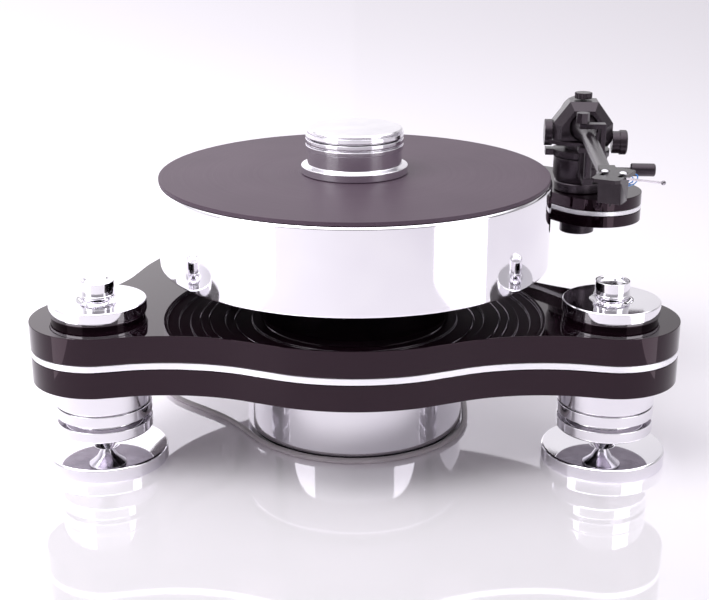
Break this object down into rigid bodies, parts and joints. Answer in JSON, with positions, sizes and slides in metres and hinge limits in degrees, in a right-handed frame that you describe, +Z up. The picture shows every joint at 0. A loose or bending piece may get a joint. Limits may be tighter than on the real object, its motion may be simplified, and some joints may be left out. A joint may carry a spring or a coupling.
{
  "type": "turntable",
  "caption": "Belt-driven record turntable: three-lobed sandwich chassis on spiked feet, heavy polished platter with record weight, separate round motor unit and straight tonearm on a curved arm board.",
  "frame": {"origin": "on the platter's axis at the height of the table, at the centre of the motor unit's base", "axes": "+Z up along the platter's axis, +Y to the rear, where the arm board is hinged, +X to the right, where the tonearm stands"},
  "size_m": [0.482, 0.425, 0.2451],
  "materials": {
    "black_acrylic": "polished black acrylic with a faint purple tint",
    "polished_aluminium": "mirror polished",
    "satin_aluminium": "satin",
    "brushed_grey": "brushed grey",
    "black_anodised": "satin black anodised",
    "mat_compound": "matte",
    "black_rubber": "matte",
    "steel": "bright",
    "brass": "turned",
    "wire_insulation": "thin coloured insulation"
  },
  "bodies": {
    "chassis": {"chassis_lower_plate": "black_acrylic", "chassis_core_plate": "satin_aluminium", "chassis_upper_plate": "black_acrylic", "foot_column_right": "polished_aluminium", "foot_column_left": "polished_aluminium", "foot_column_rear": "polished_aluminium", "foot_pad_right": "polished_aluminium", "foot_pad_left": "polished_aluminium", "foot_pad_rear": "polished_aluminium", "top_disc_right": "polished_aluminium", "top_disc_left": "polished_aluminium", "top_disc_rear": "polished_aluminium", "arm_post": "polished_aluminium", "bearing_housing": "brass", "motor_pad": "black_rubber", "motor_housing": "polished_aluminium", "motor_lid": "polished_aluminium", "motor_body": "black_anodised", "drive_belt": "black_rubber", "lead_gland": "black_rubber", "lead_run": "black_rubber", "lead_coil": "black_rubber", "lead_tail": "black_rubber", "lead_plug": "black_rubber"},
    "platter": {"bearing_spindle": "steel", "inner_platter": "black_anodised", "platter": "polished_aluminium", "platter_mat": "mat_compound"},
    "record_weight": {"record_weight_body": "brushed_grey", "record_weight_cap": "polished_aluminium"},
    "motor_rotor": {"motor_pulley": "steel"},
    "leveller_right": {"level_spindle_right": "steel", "level_knob_right": "polished_aluminium"},
    "leveller_left": {"level_spindle_left": "steel", "level_knob_left": "polished_aluminium"},
    "leveller_rear": {"level_spindle_rear": "steel", "level_knob_rear": "polished_aluminium"},
    "arm_board": {"arm_board_lower": "black_acrylic", "arm_board_core": "satin_aluminium", "arm_board_upper": "black_acrylic", "arm_board_nut": "black_anodised", "arm_base_collar": "black_anodised"},
    "arm_pillar": {"arm_pillar": "black_anodised", "arm_platform": "black_anodised", "arm_rest": "black_anodised"},
    "rest_lock": {"rest_lock_knob": "black_anodised"},
    "lift_bar": {"lift_bar": "steel"},
    "lift_lever": {"lift_lever": "black_anodised"},
    "arm_yaw": {"yaw_housing": "black_anodised", "bearing_cap": "black_anodised"},
    "side_wheel": {"side_wheel": "black_anodised"},
    "top_knob": {"top_knob": "black_anodised"},
    "arm_wand": {"arm_wand": "black_anodised", "headshell": "black_anodised", "headshell_screw_left": "steel", "headshell_screw_right": "steel", "cartridge": "black_anodised", "finger_lift": "steel", "cartridge_leads": "wire_insulation"},
    "counterweight": {"counterweight": "black_anodised"}
  },
  "joints": [
    {"name": "platter_spin", "type": "hinge", "parent": "chassis", "child": "platter", "pos_m": [0, 0, 0.15], "axis": [0, 0, 1], "continuous": true},
    {"name": "motor_spin", "type": "hinge", "parent": "chassis", "child": "motor_rotor", "pos_m": [0, 0.056, 0.12], "axis": [0, 0, 1], "continuous": true},
    {"name": "weight_lift", "type": "slide", "parent": "platter", "child": "record_weight", "axis": [0, 0, 1], "range_m": [0, 0.035]},
    {"name": "level_right_turn", "type": "hinge", "parent": "chassis", "child": "leveller_right", "pos_m": [0.187, -0.077, 0.13], "axis": [0, 0, 1], "range_deg": [-180, 180]},
    {"name": "level_left_turn", "type": "hinge", "parent": "chassis", "child": "leveller_left", "pos_m": [-0.187, -0.077, 0.13], "axis": [0, 0, 1], "range_deg": [-180, 180]},
    {"name": "level_rear_turn", "type": "hinge", "parent": "chassis", "child": "leveller_rear", "pos_m": [0, 0.202, 0.18], "axis": [0, 0, 1], "range_deg": [-180, 180]},
    {"name": "arm_board_swing", "type": "hinge", "parent": "chassis", "child": "arm_board", "pos_m": [0, 0.202, 0.15], "axis": [0, 0, 1], "range_deg": [-3, 3]},
    {"name": "arm_height", "type": "slide", "parent": "arm_board", "child": "arm_pillar", "axis": [0, 0, 1], "range_m": [0, 0.008]},
    {"name": "rest_lock_turn", "type": "hinge", "parent": "arm_pillar", "child": "rest_lock", "pos_m": [0.1802, 0.04465, 0.235], "axis": [0, 0, 1], "range_deg": [-180, 180]},
    {"name": "lift_lever_turn", "type": "hinge", "parent": "arm_pillar", "child": "lift_lever", "pos_m": [0.18786, 0.06812, 0.1895], "axis": [0.9969, -0.0785, 0], "range_deg": [-16, 47]},
    {"name": "lift_bar_rise", "type": "slide", "parent": "arm_pillar", "child": "lift_bar", "axis": [0, 0, 1], "range_m": [-0.0006, 0.0014]},
    {"name": "arm_swing", "type": "hinge", "parent": "arm_pillar", "child": "arm_yaw", "pos_m": [0.191, 0.108, 0.2], "axis": [0, 0, 1], "range_deg": [-40, 0]},
    {"name": "side_wheel_turn", "type": "hinge", "parent": "arm_yaw", "child": "side_wheel", "pos_m": [0.22163, 0.10208, 0.2045], "axis": [0.9969, -0.0785, 0], "range_deg": [-180, 180]},
    {"name": "top_knob_turn", "type": "hinge", "parent": "arm_yaw", "child": "top_knob", "pos_m": [0.19116, 0.10999, 0.242], "axis": [0, 0, 1], "range_deg": [-180, 180]},
    {"name": "arm_pitch", "type": "hinge", "parent": "arm_yaw", "child": "arm_wand", "pos_m": [0.191, 0.108, 0.2115], "axis": [-0.9969, 0.0785, 0], "range_deg": [-0.6, 1.8]},
    {"name": "counterweight_slide", "type": "slide", "parent": "arm_wand", "child": "counterweight", "axis": [0.0785, 0.9969, 0], "range_m": [-0.004, 0.008]}
  ],
  "couplings": [
    {"joint": "motor_spin", "follows": "platter_spin", "ratio": 4},
    {"joint": "lift_lever_turn", "follows": "arm_pitch", "ratio": 25},
    {"joint": "lift_bar_rise", "follows": "arm_pitch", "m_per_rad": 0.04}
  ]
}
